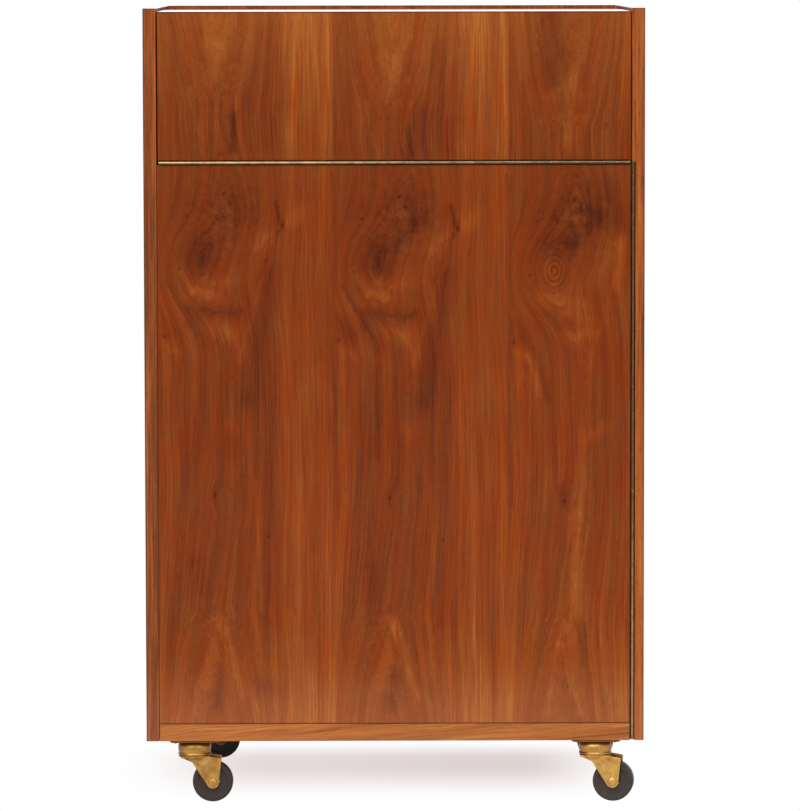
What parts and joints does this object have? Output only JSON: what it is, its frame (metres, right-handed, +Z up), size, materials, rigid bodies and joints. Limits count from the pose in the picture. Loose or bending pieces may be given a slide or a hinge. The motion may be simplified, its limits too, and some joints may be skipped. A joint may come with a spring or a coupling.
{
  "type": "rolling utility cabinet",
  "caption": "Veneered utility cabinet on swivel casters, with a drop flap above a fixed front panel and a full-height side door on a piano hinge.",
  "frame": {"origin": "on the floor, under the middle of the closed cabinet's bounding box", "axes": "+X to the hinged side, +Y to the back, +Z up"},
  "size_m": [0.489, 0.3262, 0.7815],
  "materials": {
    "walnut": "satin varnished walnut veneer",
    "walnut_front": "satin varnished walnut veneer, figured",
    "pale_board": "satin varnished solid wood",
    "hinge_brass": "brass, dulled",
    "caster_brass": "brass-plated steel",
    "steel": "plain steel",
    "latch_plastic": "brown moulded plastic",
    "wheel_rubber": "hard rubber, scuffed"
  },
  "bodies": {
    "carcass": {"left_side_panel": "walnut", "back_panel": "walnut", "top_panel": "walnut", "front_panel": "walnut_front", "bottom_board": "pale_board", "divider_shelf": "walnut", "lower_shelf": "walnut", "shelf_pin_front_left": "steel", "shelf_pin_front_right": "steel", "shelf_pin_back_left": "steel", "shelf_pin_back_right": "steel", "flap_hinge_fixed_leaf": "hinge_brass", "flap_hinge_pin": "steel", "door_hinge_fixed_leaf": "hinge_brass", "door_hinge_pin": "steel", "flap_latch_body": "latch_plastic", "door_latch_body": "latch_plastic", "caster_front_left_plate": "caster_brass", "caster_front_left_cup": "caster_brass", "caster_front_left_kingpin": "steel", "caster_front_right_plate": "caster_brass", "caster_front_right_cup": "caster_brass", "caster_front_right_kingpin": "steel", "caster_rear_left_plate": "caster_brass", "caster_rear_left_cup": "caster_brass", "caster_rear_left_kingpin": "steel", "caster_rear_right_plate": "caster_brass", "caster_rear_right_cup": "caster_brass", "caster_rear_right_kingpin": "steel"},
    "flap": {"drop_flap": "walnut_front", "flap_hinge_moving_leaf": "hinge_brass", "flap_strike_plate": "steel"},
    "door": {"side_door": "walnut", "door_hinge_moving_leaf": "hinge_brass", "door_strike_plate": "steel"},
    "flap_plunger": {"flap_latch_plunger": "latch_plastic"},
    "door_plunger": {"door_latch_plunger": "latch_plastic"},
    "front_left_fork": {"caster_front_left_fork": "caster_brass", "caster_front_left_axle": "caster_brass"},
    "front_right_fork": {"caster_front_right_fork": "caster_brass", "caster_front_right_axle": "caster_brass"},
    "rear_left_fork": {"caster_rear_left_fork": "caster_brass", "caster_rear_left_axle": "caster_brass"},
    "rear_right_fork": {"caster_rear_right_fork": "caster_brass", "caster_rear_right_axle": "caster_brass"},
    "front_left_wheel": {"caster_front_left_wheel": "wheel_rubber", "caster_front_left_bushing": "steel"},
    "front_right_wheel": {"caster_front_right_wheel": "wheel_rubber", "caster_front_right_bushing": "steel"},
    "rear_left_wheel": {"caster_rear_left_wheel": "wheel_rubber", "caster_rear_left_bushing": "steel"},
    "rear_right_wheel": {"caster_rear_right_wheel": "wheel_rubber", "caster_rear_right_bushing": "steel"}
  },
  "joints": [
    {"name": "flap_hinge", "type": "hinge", "parent": "carcass", "child": "flap", "pos_m": [0.0002, -0.16107, 0.6313], "axis": [1, 0, 0], "range_deg": [0, 180]},
    {"name": "door_hinge", "type": "hinge", "parent": "carcass", "child": "door", "pos_m": [0.2332, -0.16107, 0.3473], "axis": [0, 0, -1], "range_deg": [0, 95]},
    {"name": "flap_latch_press", "type": "slide", "parent": "carcass", "child": "flap_plunger", "axis": [0, 1, 0], "range_m": [0, 0.0015], "stiffness_N_per_m": 400},
    {"name": "door_latch_press", "type": "slide", "parent": "carcass", "child": "door_plunger", "axis": [-1, 0, 0], "range_m": [0, 0.0015], "stiffness_N_per_m": 400},
    {"name": "front_left_swivel", "type": "hinge", "parent": "carcass", "child": "front_left_fork", "pos_m": [-0.198, -0.13892, 0.04], "axis": [0, 0, 1], "continuous": true},
    {"name": "front_right_swivel", "type": "hinge", "parent": "carcass", "child": "front_right_fork", "pos_m": [0.198, -0.13892, 0.04], "axis": [0, 0, 1], "continuous": true},
    {"name": "rear_left_swivel", "type": "hinge", "parent": "carcass", "child": "rear_left_fork", "pos_m": [-0.198, 0.14108, 0.04], "axis": [0, 0, 1], "continuous": true},
    {"name": "rear_right_swivel", "type": "hinge", "parent": "carcass", "child": "rear_right_fork", "pos_m": [0.198, 0.14108, 0.04], "axis": [0, 0, 1], "continuous": true},
    {"name": "front_left_roll", "type": "hinge", "parent": "front_left_fork", "child": "front_left_wheel", "pos_m": [-0.18, -0.13892, 0.02], "axis": [0, 1, 0], "continuous": true},
    {"name": "front_right_roll", "type": "hinge", "parent": "front_right_fork", "child": "front_right_wheel", "pos_m": [0.21578, -0.14174, 0.02], "axis": [0.1564, 0.9877, 0], "continuous": true},
    {"name": "rear_left_roll", "type": "hinge", "parent": "rear_left_fork", "child": "rear_left_wheel", "pos_m": [-0.18, 0.14108, 0.02], "axis": [0, 1, 0], "continuous": true},
    {"name": "rear_right_roll", "type": "hinge", "parent": "rear_right_fork", "child": "rear_right_wheel", "pos_m": [0.20957, 0.12729, 0.02], "axis": [0.766, 0.6428, 0], "continuous": true}
  ]
}
